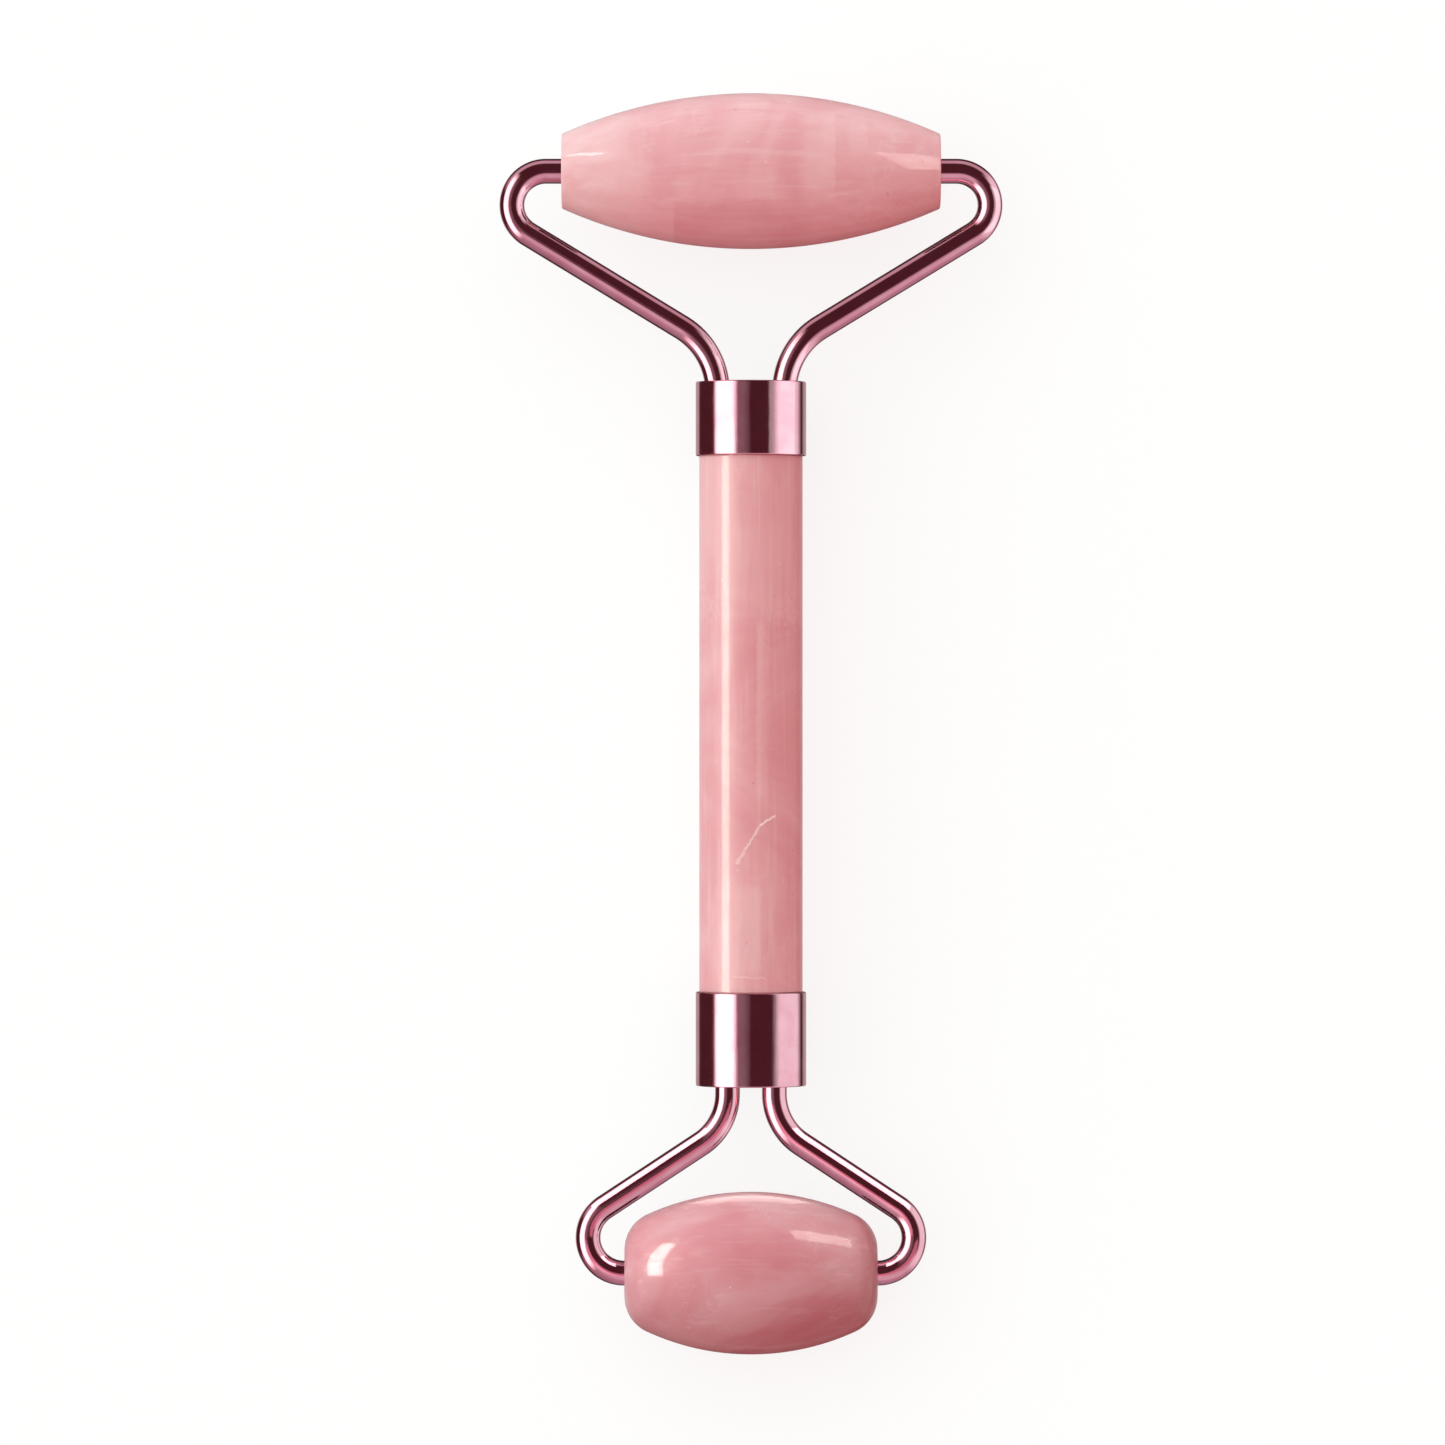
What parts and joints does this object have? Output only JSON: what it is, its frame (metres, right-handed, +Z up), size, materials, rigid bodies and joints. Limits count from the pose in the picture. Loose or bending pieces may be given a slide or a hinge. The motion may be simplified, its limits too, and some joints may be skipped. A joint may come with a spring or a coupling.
{
  "type": "two-ended face roller",
  "caption": "Two-ended stone face roller: a long tapered barrel and a short rounded barrel, each spinning in a bent wire yoke on a round stone handle.",
  "frame": {"origin": "on the resting surface, midway between the two barrels' far sides and on the tool's centre line", "axes": "+Z up from the resting surface, +Y along the handle towards the large barrel, +X to the right along the barrels' axes"},
  "size_m": [0.0584, 0.1466, 0.0189],
  "materials": {
    "rose_stone": "polished",
    "plated_metal": "polished rose-gold plating",
    "plug_metal": "machined",
    "clear_adhesive": "cured, clear",
    "bush_nylon": "natural nylon"
  },
  "bodies": {
    "handle": {"handle_rod": "rose_stone", "large_ferrule": "plated_metal", "small_ferrule": "plated_metal", "large_anchor_plug": "plug_metal", "small_anchor_plug": "plug_metal", "large_rod_adhesive": "clear_adhesive", "small_rod_adhesive": "clear_adhesive", "large_arm_left": "plated_metal", "large_arm_right": "plated_metal", "small_arm_left": "plated_metal", "small_arm_right": "plated_metal"},
    "large_roller": {"large_roller_stone": "rose_stone", "large_roller_bush_left": "bush_nylon", "large_roller_bush_right": "bush_nylon"},
    "small_roller": {"small_roller_stone": "rose_stone", "small_roller_bush_left": "bush_nylon", "small_roller_bush_right": "bush_nylon"}
  },
  "joints": [
    {"name": "large_roller_spin", "type": "hinge", "parent": "handle", "child": "large_roller", "pos_m": [0, 0.06425, 0.00945], "axis": [1, 0, 0], "continuous": true},
    {"name": "small_roller_spin", "type": "hinge", "parent": "handle", "child": "small_roller", "pos_m": [0, -0.06385, 0.00945], "axis": [1, 0, 0], "continuous": true}
  ]
}
